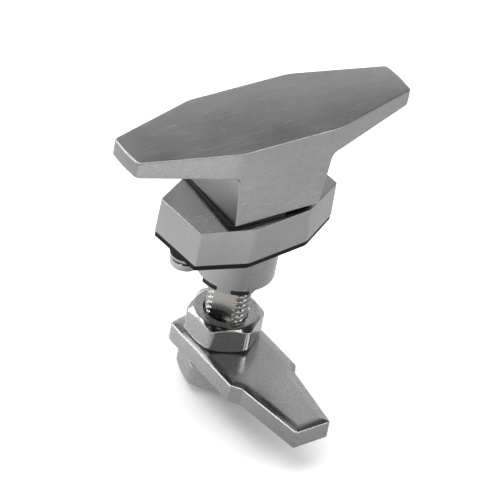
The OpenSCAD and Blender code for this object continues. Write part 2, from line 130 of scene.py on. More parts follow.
def inset(points, d):
    # moves each side of a counter-clockwise outline inwards by d and fits the corner radii
    out = []
    for i, (x, y, r) in enumerate(points):
        a, b, c = (Vector(points[k % len(points)][:2]) for k in (i - 1, i, i + 1))
        u, v = (b - a).normalized(), (c - b).normalized()
        bend = u.x * v.y - u.y * v.x
        m = Vector((-u.y - v.y, u.x + v.x)).normalized()
        p = b + m * d / max(0.3, m.dot(Vector((-u.y, u.x))))
        out.append((p.x, p.y, max(r - d, 0.04) if bend > 0 else r + d))
    return out


def layers(points, rings, n, turn=0.0):
    # stacks the outline at each (inset, z), lowest first
    bm = bmesh.new()
    loops = []
    for d, z in rings:
        path = turned(rounded(inset(points, d), n), turn)
        loops.append([bm.verts.new((p.x, p.y, z)) for p in path])
    for low, high in zip(loops, loops[1:]):
        for i in range(len(low)):
            j = (i + 1) % len(low)
            bm.faces.new((low[i], low[j], high[j], high[i]))
    bm.faces.new(loops[0][::-1])
    bm.faces.new(loops[-1])
    return bm


def shade(mesh, smooth):
    for face in mesh.polygons:
        face.use_smooth = True
    mesh.set_sharp_from_angle(angle=radians(smooth))


def toMesh(bm, name, smooth=40):
    bmesh.ops.remove_doubles(bm, verts=bm.verts, dist=1e-5)
    bmesh.ops.recalc_face_normals(bm, faces=bm.faces)
    mesh = bpy.data.meshes.new(name)
    bm.to_mesh(mesh)
    bm.free()
    mesh.transform(Matrix.Scale(mm, 4))
    shade(mesh, smooth)
    return mesh


def newObject(name, mesh):
    obj = bpy.data.objects.new(name, mesh)
    scene.collection.objects.link(obj)
    return obj


def evaluated(obj):
    # the object's mesh with its modifiers applied
    graph = bpy.context.evaluated_depsgraph_get()
    mesh = bpy.data.meshes.new_from_object(obj.evaluated_get(graph))
    old = obj.data
    obj.modifiers.clear()
    obj.data = mesh
    bpy.data.meshes.remove(old)


def carve(obj, mode, *tools):
    for bm in tools:
        tool = newObject("tool", toMesh(bm, "tool"))
        mod = obj.modifiers.new("cut", "BOOLEAN")
        mod.operation = mode
        mod.solver = "EXACT"
        mod.object = tool
        evaluated(obj)
        toolMesh = tool.data
        bpy.data.objects.remove(tool)
        bpy.data.meshes.remove(toolMesh)


def tidy(obj, smooth=30):
    # merges the stray vertices that a boolean leaves and dissolves its flat seams
    bm = bmesh.new()
    bm.from_mesh(obj.data)
    bmesh.ops.remove_doubles(bm, verts=bm.verts, dist=2e-6)
    bmesh.ops.dissolve_limit(bm, angle_limit=radians(0.5), verts=bm.verts, edges=bm.edges)
    bmesh.ops.recalc_face_normals(bm, faces=bm.faces)
    bm.to_mesh(obj.data)
    bm.free()
    shade(obj.data, smooth)


def bevel(obj, width, segments, angle, clamp=True):
    mod = obj.modifiers.new("bevel", "BEVEL")
    mod.width = width * mm
    mod.segments = segments
    mod.limit_method = "ANGLE"
    mod.angle_limit = radians(angle)
    mod.use_clamp_overlap = clamp
    mod.harden_normals = True
    mod.miter_outer = "MITER_ARC"


def weighted(obj):
    # large faces keep their own direction beside the narrow faces of a rounded edge
    mod = obj.modifiers.new("weighted", "WEIGHTED_NORMAL")
    mod.keep_sharp = True
    mod.weight = 60


def finishPiece(obj, body, slot, material, *replaced):
    obj.data.materials.clear()
    obj.data.materials.append(material)
    for face in obj.data.polygons:
        face.material_index = 0
    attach(obj, body)
    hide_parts(*replaced)
    print("piece", obj.name)


class Nodes:
    # short way to add and join shader nodes
    def __init__(self, name):
        self.material = bpy.data.materials.new(name)
        self.material.use_nodes = True
        self.tree = self.material.node_tree
        self.shader = self.tree.nodes["Principled BSDF"]
        self.coord = self.tree.nodes.new("ShaderNodeTexCoord").outputs["Object"]

    def join(self, a, b):
        self.tree.links.new(a, b)

    def mapped(self, scale, turn):
        node = self.tree.nodes.new("ShaderNodeMapping")
        node.vector_type = "TEXTURE"
        node.inputs["Rotation"].default_value = (0, 0, radians(turn))
        node.inputs["Scale"].default_value = [1 / s for s in scale]
        self.join(self.coord, node.inputs["Vector"])
        return node.outputs["Vector"]

    def noise(self, scale, detail, turn=0.0, rough=0.5, twist=0.0):
        node = self.tree.nodes.new("ShaderNodeTexNoise")
        node.inputs["Distortion"].default_value = twist
        node.inputs["Scale"].default_value = 1.0
        node.inputs["Detail"].default_value = detail
        node.inputs["Roughness"].default_value = rough
        self.join(self.mapped(scale, turn), node.inputs["Vector"])
        return node.outputs["Fac"]

    def ramp(self, value, low, high, fromLow=0.3, fromHigh=0.7, soft=False):
        node = self.tree.nodes.new("ShaderNodeMapRange")
        node.interpolation_type = "SMOOTHSTEP" if soft else "LINEAR"
        node.inputs["From Min"].default_value = fromLow
        node.inputs["From Max"].default_value = fromHigh
        node.inputs["To Min"].default_value = low
        node.inputs["To Max"].default_value = high
        self.join(value, node.inputs["Value"])
        return node.outputs["Result"]

    def math(self, mode, a, b):
        node = self.tree.nodes.new("ShaderNodeMath")
        node.operation = mode
        for k, v in enumerate((a, b)):
            if isinstance(v, float):
                node.inputs[k].default_value = v
            else:
                self.join(v, node.inputs[k])
        return node.outputs["Value"]

    def vector(self, mode, at):
        # distance from a point or length along a direction, in object coordinates
        node = self.tree.nodes.new("ShaderNodeVectorMath")
        node.operation = mode
        node.inputs[1].default_value = at
        self.join(self.coord, node.inputs[0])
        return node.outputs["Value"]

    def tint(self, color, factor):
        node = self.tree.nodes.new("ShaderNodeVectorMath")
        node.operation = "SCALE"
        node.inputs[0].default_value = color
        self.join(factor, node.inputs["Scale"])
        return node.outputs["Vector"]

    def bump(self, height, distance, strength, below=None):
        node = self.tree.nodes.new("ShaderNodeBump")
        node.inputs["Strength"].default_value = strength
        node.inputs["Distance"].default_value = distance
        self.join(height, node.inputs["Height"])
        if below:
            self.join(below, node.inputs["Normal"])
        return node.outputs["Normal"]


# noise scales count per metre, so a wide pattern has a low one
metalNoise = {"blotch": {"scale": (70, 70, 70), "detail": 2},
              "cloud": {"scale": (330, 420, 420), "detail": 3, "rough": 0.55, "twist": 1.6},
              "streak": {"scale": (60, 2400, 2400), "detail": 4, "rough": 0.6},
              "grain": {"detail": 2, "rough": 0.6},
              "nick": {"scale": (170, 2600, 2600), "detail": 2}, "nickTurn": 4, "nickRange": (0.62, 0.74),
              "roughSpread": 0.03, "bump": 0.5}
blackNoise = {"fine": {"scale": (2600, 2600, 2600), "detail": 2},
              "wide": {"scale": (160, 160, 160), "detail": 2},
              "tone": (0.75, 1.3), "roughSpread": 0.08, "bump": 0.5}


def steel(name, s):
    # metal brushed along its turn
    t = metalNoise
    m = Nodes(name)
    m.shader.inputs["Metallic"].default_value = 1.0
    blotch = m.noise(**t["blotch"])
    cloud = m.noise(turn=s["turn"], **t["cloud"])
    streak = m.noise(turn=s["turn"], **t["streak"])
    grain = m.noise([s["fine"]] * 3, **t["grain"])
    tone = m.math("ADD", m.ramp(blotch, 1 - s["blotch"], 1 + s["blotch"]),
                  m.ramp(cloud, -s["cloud"], s["cloud"]))
    tone = m.math("ADD", tone, m.ramp(streak, -s["streak"], s["streak"]))
    tone = m.math("ADD", tone, m.ramp(grain, -s["grain"], s["grain"]))
    nick = m.noise(turn=s["turn"] + t["nickTurn"], **t["nick"])
    tone = m.math("ADD", tone, m.ramp(nick, 0.0, s["nick"], *t["nickRange"]))
    m.join(m.tint(s["color"], tone), m.shader.inputs["Base Color"])
    rough = m.math("ADD", m.ramp(streak, s["rough"] - s["streak"], s["rough"] + s["streak"]),
                   m.ramp(blotch, -t["roughSpread"], t["roughSpread"]))
    m.join(rough, m.shader.inputs["Roughness"])
    low = m.bump(cloud, s["wave"] * mm, t["bump"])
    mid = m.bump(streak, s["scratch"] * mm, t["bump"], low)
    m.join(m.bump(grain, s["pits"] * mm, t["bump"], mid), m.shader.inputs["Normal"])
    return m.material


def blackPart(name, s):
    t = blackNoise
    m = Nodes(name)
    fine = m.noise(**t["fine"])
    wide = m.noise(**t["wide"])
    low, high = s["rough"] - t["roughSpread"], s["rough"] + t["roughSpread"]
    m.join(m.tint(s["color"], m.ramp(wide, *t["tone"])), m.shader.inputs["Base Color"])
    m.join(m.ramp(wide, low, high), m.shader.inputs["Roughness"])
    m.join(m.bump(fine, s["pits"] * mm, t["bump"]), m.shader.inputs["Normal"])
    m.shader.inputs["Specular IOR Level"].default_value = s["shine"]
    return m.material


def steelLook(color, rough, turn, **more):
    # what the metals share, with one metal's own values put over it
    look = {"color": color, "rough": rough, "turn": turn, "streak": 0.02, "blotch": 0.045, "cloud": 0.02,
            "grain": 0.06, "fine": 3000, "nick": 0.0, "wave": 0.01, "scratch": 0.003, "pits": 0.002}
    look.update(more)
    return look


gripSteel = steel("gripSteel", steelLook((0.385, 0.385, 0.383), 0.34, -5.6, streak=0.05, grain=0.08,
                                         cloud=0.045, nick=0.35, wave=0.04, scratch=0.006))
baseSteel = steel("baseSteel", steelLook((0.36, 0.36, 0.358), 0.27, 0, grain=0.055, wave=0.03))
camSteel = steel("camSteel", steelLook((0.455, 0.455, 0.453), 0.22, 84, streak=0.004, cloud=0.03,
                                       grain=0.16, fine=2600, wave=0.02, scratch=0, pits=0.006))
nutSteel = steel("nutSteel", steelLook((0.415, 0.415, 0.413), 0.12, 30, streak=0.004, cloud=0.05,
                                       grain=0.22, fine=2300, wave=0.012, scratch=0, pits=0.004))
threadSteel = steel("threadSteel", steelLook((0.42, 0.415, 0.405), 0.2, 0, streak=0.01, grain=0.04))
fastenerSteel = steel("fastenerSteel", steelLook((0.44, 0.44, 0.435), 0.22, 0, streak=0.01))
springSteel = steel("springSteel", steelLook((0.3, 0.3, 0.305), 0.34, 0))
sinteredSteel = steel("sinteredSteel", steelLook((0.33, 0.33, 0.325), 0.46, 0, blotch=0.07, grain=0.08,
                                                 pits=0.006))
bronze = steel("bronze", steelLook((0.5, 0.34, 0.17), 0.36, 0, blotch=0.06))
blackPlastic = blackPart("blackPlastic", {"color": (0.012, 0.012, 0.0125), "rough": 0.45, "pits": 0.004,
                                          "shine": 0.25})
rubber = blackPart("rubber", {"color": (0.008, 0.008, 0.0083), "rough": 0.6, "pits": 0.008,
                              "shine": 0.15})
print("materials made")


grip = {"length": 88.5, "endW": 11.8, "midW": 25.9, "midL": 32.0, "endR": 1.6, "bendR": 18.0, "bow": 0.5,
        "top": 38.0, "foot": 13.5, "endT": 4.8, "rootT": 8.2, "stemTop": 30.0, "stemFoot": 26.9,
        "fillet": 2.0, "turn": -5.6, "edge": 0.3, "topEdge": 0.5, "tenon": 10.0, "tenonL": 10.5,
        "tenonPlay": 0.05, "tenonEnd": 0.3, "screwD": 5.0, "screwPlay": 0.02, "screwL": 8.0}


def makeGrip(g):
    slope = (g["rootT"] - g["endT"]) / ((g["length"] - g["stemTop"]) / 2)
    half = [(g["length"] / 2 + 1, g["top"] + 1, 0), (g["length"] / 2 + 1, g["top"] - g["endT"] + slope, 0),
            (g["stemTop"] / 2, g["top"] - g["rootT"], g["fillet"]), (g["stemFoot"] / 2, g["foot"], 0)]
    side = rounded(half + [(-x, z, r) for x, z, r in half[::-1]], 5)
    bm = prism(side, -20, 20)
    bmesh.ops.transform(bm, matrix=Matrix.Rotation(radians(90), 4, "X"), verts=bm.verts)
    obj = newObject("tGrip", toMesh(bm, "tGrip"))
    plan = octagon(g["length"], g["endW"], g["midW"], g["midL"], g["endR"], g["bendR"], g["bow"])
    e = g["topEdge"]
    rings = [(0, g["foot"] - 2)] + [(e - e * cos(radians(a)), g["top"] - e + e * sin(radians(a)))
                                    for a in range(0, 91, 15)]
    carve(obj, "INTERSECT", layers(plan, rings, 8))
    s = g["tenon"] / 2 + g["tenonPlay"]
    square, deep = [(-s, -s), (s, -s), (s, s), (-s, s)], g["foot"] + g["tenonL"]
    thread = circle(g["screwD"] / 2 + g["screwPlay"], 48)
    carve(obj, "DIFFERENCE", prism(square, g["foot"] - 1, deep + g["tenonEnd"]),
          prism(thread, g["foot"] + 2, deep + g["screwL"]))
    tidy(obj)
    obj.data.transform(Matrix.Rotation(radians(g["turn"]), 4, "Z"))
    bevel(obj, g["edge"], 3, 50, clamp=False)
    finishPiece(obj, "grip", "cast_steel", gripSteel, "grip")


makeGrip(grip)

glide = {"z": 12.4, "t": 1.1, "w": 13.95, "d": 12.95, "cutW": 10.5, "cutD": 4.0, "cutSlant": 1,
         "cornerR": 1, "cutR": 0.4, "cutEndR": 0.6, "turn": -8.6, "hole": 7.05, "edge": 0.15}


def makeGlidePlate(g):
    # its front right corner is cut back along a short slant
    w, d, x, y = g["w"], g["d"], g["w"] - g["cutW"], g["cutD"] - g["d"]
    path = rounded([(-w, -d, g["cornerR"]), (x, -d, g["cutR"]), (x + g["cutSlant"], y, g["cutR"]),
                    (w, y, g["cutEndR"]), (w, d, g["cornerR"]), (-w, d, g["cornerR"])], 4)
    plate = prism(turned(path, g["turn"]), g["z"], g["z"] + g["t"])
    obj = newObject("glidePad", toMesh(plate, "glidePad"))
    carve(obj, "DIFFERENCE", prism(circle(g["hole"]), g["z"] - 1, g["z"] + 3))
    tidy(obj)
    bevel(obj, g["edge"], 2, 40)
    finishPiece(obj, "grip", "black_plastic", blackPlastic, "glide_plate")


makeGlidePlate(glide)

base = {"length": 47.9, "endW": 17.4, "midW": 29.2, "topMidL": 18.4, "footMidL": 20.4, "draft": 0.2,
        "foot": 1.5, "top": 12.35, "edge": 0.28, "roof": 8.4, "bore": 8.6, "neck": 7.05,
        "screwX": 19.3, "screwR": 2.02, "screwTop": 8.0, "endR": 0.8, "bendR": 5.0}


def makeBase(b):
    foot, top = (rounded(octagon(b["length"] - d, b["endW"] - d, b["midW"] - d, mid, b["endR"],
                                 b["bendR"]), 5)
                 for d, mid in ((0, b["footMidL"]), (2 * b["draft"], b["topMidL"])))
    obj = newObject("baseBlock", toMesh(prism(foot, b["foot"], b["top"], top), "baseBlock", 25))
    carve(obj, "DIFFERENCE", prism(circle(b["bore"]), -2, b["roof"]), prism(circle(b["neck"]), 5, 15),
          *[prism(circle(b["screwR"], 40, x), -2, b["screwTop"]) for x in (-b["screwX"], b["screwX"])])
    tidy(obj, 25)
    bevel(obj, b["edge"], 3, 25, clamp=False)
    finishPiece(obj, "housing", "cast_steel", baseSteel, "housing")


def crown(rIn, rOut, zTop, zFoot, teeth, step):
    # a tube from the first to the second height of zTop, with teeth down to zFoot
    # a tooth is its first and last angle and the angle where its ramp starts, or None
    marks = sorted(a % 360 for t in teeth for a in t if a is not None)
    angles = []
    for i, a in enumerate(marks):
        b = marks[i + 1] if i + 1 < len(marks) else marks[0] + 360
        n = max(1, round((b - a) / step))
        angles += [a + (b - a) * k / n for k in range(n)]
    bm = bmesh.new()

    def point(r, a, z):
        return bm.verts.new((r * cos(radians(a)), r * sin(radians(a)), z))

    def quad(*p):
        bm.faces.new([point(*x) for x in p])

    spans = []
    for i, a in enumerate(angles):
        b = angles[i + 1] if i + 1 < len(angles) else angles[0] + 360
        mid, low, high = (a + b) / 2, 0.0, 0.0
        for t in teeth:
            into, width = (mid - t[0]) % 360, (t[1] - t[0]) % 360
            if into < width:
                low = high = 1.0
                if t[2] is not None and into > (t[2] - t[0]) % 360:
                    ramp = (t[1] - t[2]) % 360
                    low, high = ((t[1] - x) % 360 / ramp for x in (a, b - 1e-9))
                    high = 0.0 if high > 1 or abs(((t[1] - b + 180) % 360) - 180) < 1e-6 else high
        spans.append((a, b, low, high))
    depth = zTop[1] - zFoot
    for i, (a, b, low, high) in enumerate(spans):
        z0, za, zb = zTop[1], zTop[1] - depth * low, zTop[1] - depth * high
        quad((rOut, a, zTop[0]), (rOut, b, zTop[0]), (rOut, b, z0), (rOut, a, z0))
        quad((rIn, a, zTop[0]), (rIn, a, z0), (rIn, b, z0), (rIn, b, zTop[0]))
        quad((rOut, a, zTop[0]), (rIn, a, zTop[0]), (rIn, b, zTop[0]), (rOut, b, zTop[0]))
        if low or high:
            if low and high:
                quad((rOut, a, z0), (rOut, b, z0), (rOut, b, zb), (rOut, a, za))
                quad((rIn, a, z0), (rIn, a, za), (rIn, b, zb), (rIn, b, z0))
            else:
                tip = (a, za) if low else (b, zb)
                quad((rOut, a, z0), (rOut, b, z0), (rOut, *tip))
                quad((rIn, a, z0), (rIn, *tip), (rIn, b, z0))
        quad((rOut, a, za), (rOut, b, zb), (rIn, b, zb), (rIn, a, za))
        after = spans[(i + 1) % len(spans)][2]
        if abs(after - high) > 1e-6:
            zc = z0 - depth * after
            quad((rOut, b, zb), (rOut, b, zc), (rIn, b, zc), (rIn, b, zb))
    return bm


# teeth and lugs go round the boss's end by their first and last angle
boss = {"r": 11.0, "bore": 8.6, "end": -13.5, "claws": -14.9, "edge": 0.16, "step": 3.0,
        "bushBore": 6.25, "bushSeat": 1.3, "bushPlay": 0.04, "lugIn": 8.3, "bushEdge": 0.12,
        "teeth": [(-155.3, -134.6, None), (-108.1, -97.9, -105.5)],
        "lugs": [(-182.0, -155.6), (-134.3, -108.4)]}
boss["teeth"] += [(a + 180, b + 180, None if c is None else c + 180) for a, b, c in boss["teeth"]]
boss["lugs"] += [(a + 180, b + 180) for a, b in boss["lugs"]]


def makeBoss(b):
    tube = crown(b["bore"], b["r"], (base["foot"], b["end"]), b["claws"], b["teeth"], b["step"])
    obj = newObject("bossTube", toMesh(tube, "bossTube"))
    bevel(obj, b["edge"], 2, 40)
    finishPiece(obj, "housing", "cast_steel", baseSteel, "housing")


def makeEndBush(b):
    # spigot in the bore and, between the claws, lugs out to the boss's own radius
    rIn, rOut, top = b["bushBore"], b["bore"] - b["bushPlay"], b["end"] + b["bushSeat"]
    bm = lathe([(rIn, b["claws"]), (rOut, b["claws"]), (rOut, top), (rIn, top)])
    for first, last in b["lugs"]:
        angles = [radians(first + (last - first) * k / 8) for k in range(9)]
        outer = [(b["r"] - b["bushPlay"]) * Vector((cos(a), sin(a))) for a in angles]
        inner = [p * (b["lugIn"] / p.length) for p in outer[::-1]]
        lug = prism(outer + inner, b["claws"] + 0.01, b["end"] - 0.01)
        mesh = bpy.data.meshes.new("lug")
        lug.to_mesh(mesh)
        lug.free()
        bm.from_mesh(mesh)
        bpy.data.meshes.remove(mesh)
    obj = newObject("bossBush", toMesh(bm, "bossBush"))
    bevel(obj, b["bushEdge"], 2, 40)
    finishPiece(obj, "housing", "black_plastic", blackPlastic, "end_bush")


makeBase(base)
makeBoss(boss)
makeEndBush(boss)

gasket = {"t": 1.5, "inset": 0.15, "hole": 11.05, "screwHole": 2.3, "edge": 0.18}


def makeGasket(g):
    d = 2 * g["inset"]
    path = rounded(octagon(base["length"] - d, base["endW"] - d, base["midW"] - d, base["footMidL"],
                           base["endR"], base["bendR"]), 5)
    obj = newObject("panelSeal", toMesh(prism(path, 0, g["t"]), "panelSeal"))
    carve(obj, "DIFFERENCE", prism(circle(g["hole"]), -1, 3),
          *[prism(circle(g["screwHole"], 32, x), -1, 3) for x in (-base["screwX"], base["screwX"])])
    tidy(obj)
    bevel(obj, g["edge"], 2, 40)
    finishPiece(obj, "housing", "rubber", rubber, "panel_gasket")


makeGasket(gasket)

screws = {"x": 19.3, "headR": 4.05, "headH": 2.5, "headTop": -2.85, "round": 0.9, "shank": 2.0,
          "headEdge": 0.2, "top": 8.0, "tipR": 1.4, "tipGap": 0.1, "pitch": 0.7, "threadDeep": 0.3,
          "socket": 1.5, "socketDeep": 1.4, "sealT": 1.35, "sealR": 4.5, "sealEdge": 0.2,
          "flatT": 0.7, "flatR": 4.35, "flatEdge": 0.12, "ringHole": 2.1, "flatHole": 2.15,
          "lockT": 0.8, "lockR": 3.6, "lockEdge": 0.08, "lockGap": 16, "lockLift": 0.1, "lockRoom": 0.1}


def ring(rIn, rOut, z0, z1, x, e):
    # a washer with its outer edges rounded by e
    s = 0.3 * e
    return lathe([(rIn, z0), (rOut - e, z0), (rOut - s, z0 + s), (rOut, z0 + e), (rOut, z1 - e),
                  (rOut - s, z1 - s), (rOut - e, z1), (rIn, z1)], 64, x)


def joined(parts):
    bm = bmesh.new()
    for part in parts:
        mesh = bpy.data.meshes.new("part")
        part.to_mesh(mesh)
        part.free()
        bm.from_mesh(mesh)
        bpy.data.meshes.remove(mesh)
    return bm


def screwBody(s, x):
    z1, z0, r, c = s["headTop"], s["headTop"] - s["headH"], s["headR"], s["round"]
    arc = [(r - c + c * cos(radians(a)), z0 + c + c * sin(radians(a))) for a in range(-90, 1, 15)]
    thread = []
    n = int((s["top"] - z1) / (s["pitch"] / 2))
    for i in range(n):
        z = z1 + s["pitch"] / 2 * i
        thread.append((s["shank"] - (s["threadDeep"] if i % 2 else 0.0), z))
    e, tip = s["headEdge"], s["top"] - s["tipGap"]
    profile = [(0, z0)] + arc + [(r, z1 - e), (r - e, z1)] + thread + [(s["tipR"], tip), (0, tip)]
    return lathe(profile, 64, x)


def splitRing(s, x, z0, z1):
    # one turn of flat wire, its ends a gap apart, its upper face climbing from one to the other
    bm = bmesh.new()
    n, rows, gap = 60, [], s["lockGap"]
    rIn, rOut, top = s["ringHole"], s["lockR"], z1 - s["lockRoom"]
    for i in range(n + 1):
        a = radians(gap / 2 + (360 - gap) * i / n)
        high = top + s["lockLift"] * (i / n - 0.5)
        rows.append([bm.verts.new((x + r * cos(a), r * sin(a), z))
                     for r, z in ((rIn, z0), (rOut, z0), (rOut, high), (rIn, high))])
    for a, b in zip(rows, rows[1:]):
        for k in range(4):
            bm.faces.new((a[k], b[k], b[(k + 1) % 4], a[(k + 1) % 4]))
    bm.faces.new(rows[0])
    bm.faces.new(rows[-1][::-1])
    return bm


def makeScrews(s):
    xs = (-s["x"], s["x"])
    z0 = -s["sealT"]
    pair = joined([ring(s["ringHole"], s["sealR"], z0, 0, x, s["sealEdge"]) for x in xs])
    seals = newObject("sealRings", toMesh(pair, "sealRings"))
    finishPiece(seals, "housing", "rubber", rubber, "seal_washers")
    z1 = z0 - s["flatT"]
    pair = joined([ring(s["flatHole"], s["flatR"], z1, z0, x, s["flatEdge"]) for x in xs])
    flats = newObject("flatRings", toMesh(pair, "flatRings"))
    finishPiece(flats, "housing", "fastener_steel", fastenerSteel, "steel_washers")
    z2 = z1 - s["lockT"]
    pair = joined([splitRing(s, x, z2, z1) for x in xs])
    locks = newObject("splitRings", toMesh(pair, "splitRings"))
    bevel(locks, s["lockEdge"], 1, 40)
    finishPiece(locks, "housing", "spring_steel", springSteel, "lock_washers")
    pair = joined([screwBody(s, x) for x in xs])
    heads = newObject("panelBolts", toMesh(pair, "panelBolts", 35))
    foot = s["headTop"] - s["headH"]
    carve(heads, "DIFFERENCE",
          *[prism(circle(s["socket"], 6, x), foot - 1, foot + s["socketDeep"]) for x in xs])
    shade(heads.data, 35)
    finishPiece(heads, "housing", "fastener_steel", fastenerSteel, "panel_screws")


makeScrews(screws)

stud = {"r": 5.95, "root": 4.95, "pitch": 1.75, "flatHalf": 4.0, "flatTurn": 26.0, "top": -0.5,
        "end": -51.8, "crest": 0.14, "flank": 1.6, "rows": 13, "bevel": 1.0, "play": 0.04,
        "pinHole": 1.52, "pinZ": -3.7, "pinCut": 20.0}


def threadRadius(s, a, z):
    # right-hand thread, a in radians; deep runs from 0 on the crest to 1 at the root
    phase = ((z - s["end"]) / s["pitch"] - a / (2 * pi)) % 1.0
    deep = (abs(phase - 0.5) * 2 - s["crest"]) / (1 - s["flank"] * s["crest"])
    return s["r"] - (s["r"] - s["root"]) * min(1.0, max(0.0, deep))


def makeStud(s):
    perTurn, rows = 144, round((s["top"] - s["end"]) / s["pitch"] * s["rows"])
    bm = bmesh.new()
    grid = []
    for i in range(rows + 1):
        z = s["end"] + (s["top"] - s["end"]) * i / rows
        cap = s["r"] - max(0.0, s["bevel"] - min(z - s["end"], s["top"] - z))
        line = []
        for k in range(perTurn):
            a = 2 * pi * k / perTurn
            r = min(cap, threadRadius(s, a, z))
            across = abs(cos(a - radians(s["flatTurn"])))
            if across > 0.05:
                r = min(r, s["flatHalf"] / across)
            line.append(bm.verts.new((r * cos(a), r * sin(a), z)))
        grid.append(line)
    for a, b in zip(grid, grid[1:]):
        for k in range(perTurn):
            j = (k + 1) % perTurn
            bm.faces.new((a[k], a[j], b[j], b[k]))
    bm.faces.new(grid[0][::-1])
    bm.faces.new(grid[-1])
    obj = newObject("threadedStud", toMesh(bm, "threadedStud", 38))
    carve(obj, "DIFFERENCE", crossPin(s["pinHole"], s["pinZ"], s["pinCut"]))
    shade(obj.data, 38)
    finishPiece(obj, "rod", "thread_steel", threadSteel, "stud")


def crossPin(r, z, length):
    bm = prism(circle(r, 32), -length / 2, length / 2)
    across = Matrix.Rotation(radians(stud["flatTurn"]), 4, "Z") @ Matrix.Rotation(radians(90), 4, "Y")
    bmesh.ops.transform(bm, matrix=Matrix.Translation((0, 0, z)) @ across, verts=bm.verts)
    return bm


makeStud(stud)

nut = {"af": 19.2, "h": 8.1, "faceR": 8.88, "chamfer": 30, "edge": 0.3, "sink": 0.6, "sinkSlope": 1.6,
       "sinkEdge": 0.12, "boreEnd": 0.04, "cornerR": 1.9, "upperZ": -36.2, "upperTurn": -31.5,
       "lowerZ": -50.3, "lowerTurn": 10.0}


def hexRadius(a, s):
    # distance from the axis to the hexagon with rounded upright corners, a from a corner
    a = (a + pi / 6) % (pi / 3) - pi / 6
    flat = s["af"] / 2
    mid = flat / cos(pi / 6) - s["cornerR"] / cos(pi / 6)
    r = flat / cos(pi / 6 - abs(a))
    edge = atan2(s["cornerR"] * sin(pi / 6), mid + s["cornerR"] * cos(pi / 6))
    if abs(a) < edge:
        r = mid * cos(a) + (s["cornerR"] ** 2 - (mid * sin(a)) ** 2) ** 0.5
    return r


def makeNut(name, s, z0, turn, replaced):
    # loops of vertices run up the outside, over the top and down through the bore
    n = 144
    turns = [2 * pi * k / n + radians(turn) for k in range(n)]
    bm = bmesh.new()

    def loop(radii, heights):
        return [bm.verts.new((r * cos(a), r * sin(a), z)) for a, r, z in zip(turns, radii, heights)]

    rim = [hexRadius(2 * pi * i / n, s) for i in range(n)]
    drop = [(r - s["faceR"]) * tan(radians(s["chamfer"])) for r in rim]
    e, top = s["edge"], z0 + s["h"]
    # rounded edges in steps of e: out and deep at the end face, back and low at the chamfer
    face = ((-1.0, 0.0), (-0.3, 0.1), (0.5, 0.3))
    sides = ((0.6, 0.35), (0.2, 0.08), (0.04, -0.3), (0.0, -0.9))
    loops = [loop([s["faceR"] + out * e] * n, [z0 + deep * e] * n) for out, deep in face]
    loops += [loop([r - back * e for r in rim], [z0 + d - low * e for d in drop]) for back, low in sides]
    loops += [loop([r - back * e for r in rim], [top - d + low * e for d in drop])
              for back, low in sides[::-1]]
    loops += [loop([s["faceR"] + out * e] * n, [top - deep * e] * n) for out, deep in face[::-1]]
    # bore with its thread, open to the countersink at both ends
    rows = round(s["h"] / stud["pitch"] * stud["rows"])
    wide = stud["r"] + s["sink"]
    loops.append(loop([wide + s["sinkEdge"]] * n, [top] * n))
    for i in range(rows + 1):
        z = top - s["boreEnd"] - (s["h"] - 2 * s["boreEnd"]) * i / rows
        sink = wide - s["sinkSlope"] * min(top - z, z - z0)
        loops.append(loop([max(sink, threadRadius(stud, a, z) + stud["play"]) for a in turns], [z] * n))
    loops.append(loop([wide + s["sinkEdge"]] * n, [z0] * n))
    for k in range(len(loops)):
        a, b = loops[k], loops[(k + 1) % len(loops)]
        for i in range(n):
            j = (i + 1) % n
            bm.faces.new((a[i], a[j], b[j], b[i]))
    obj = newObject(name, toMesh(bm, name, 50))
    weighted(obj)
    finishPiece(obj, "rod", "nut_steel", nutSteel, replaced)


makeNut("hexNutUpper", nut, nut["upperZ"], nut["upperTurn"], "upper_nut")
makeNut("hexNutLower", nut, nut["lowerZ"], nut["lowerTurn"], "lower_nut")

cam = {"z": -42.2, "t": 6.0, "w": 22.0, "back": 9.4, "bow": 2.1, "head": 20.0, "shoulder": 22.8,
       "armW": 17.6, "reach": 43.6, "tipW": 11.4, "tipR": 0.8, "shoulderR": 1.5, "headR": 0.6,
       "backR": 1.8, "bowR": 25, "turn": -4.4, "crown": 0.28, "crownW": 2.5, "play": 0.02}


def makeCam(s):
    w, a, t = s["w"] / 2, s["armW"] / 2, s["tipW"] / 2
    side = [(t, -s["reach"], s["tipR"]), (a, -s["shoulder"], s["shoulderR"]), (w, -s["head"], s["headR"]),
            (w, s["back"], s["backR"])]
    points = side + [(0, s["back"] + s["bow"], s["bowR"])] + [(-x, y, r) for x, y, r in side[::-1]]
    z, top = s["z"], s["z"] + s["t"]
    rings = [(0.9, z), (0.5, z + 0.07), (0.2, z + 0.25), (0.05, z + 0.5), (0, z + 0.85)]
    # a small round along the edge, then a soft crown that flattens out inwards
    rings += [(0, top - 0.72), (0.03, top - 0.57), (0.11, top - 0.43), (0.22, top - 0.34)]
    rings += [(0.36 + s["crownW"] * k / 10, top - s["crown"] * (1 - k / 10) ** 2.3) for k in range(11)]
    obj = newObject("latchCam", toMesh(layers(points, rings, 6, s["turn"]), "latchCam", 40))
    half = stud["flatHalf"] + s["play"]
    hole = [Vector((max(-half, min(half, p.x)), p.y)) for p in circle(stud["r"] + s["play"], 96)]
    carve(obj, "DIFFERENCE", prism(turned(hole, stud["flatTurn"]), z - 1, top + 1))
    shade(obj.data, 40)
    weighted(obj)
    finishPiece(obj, "rod", "cam_steel", camSteel, "cam")


makeCam(cam)

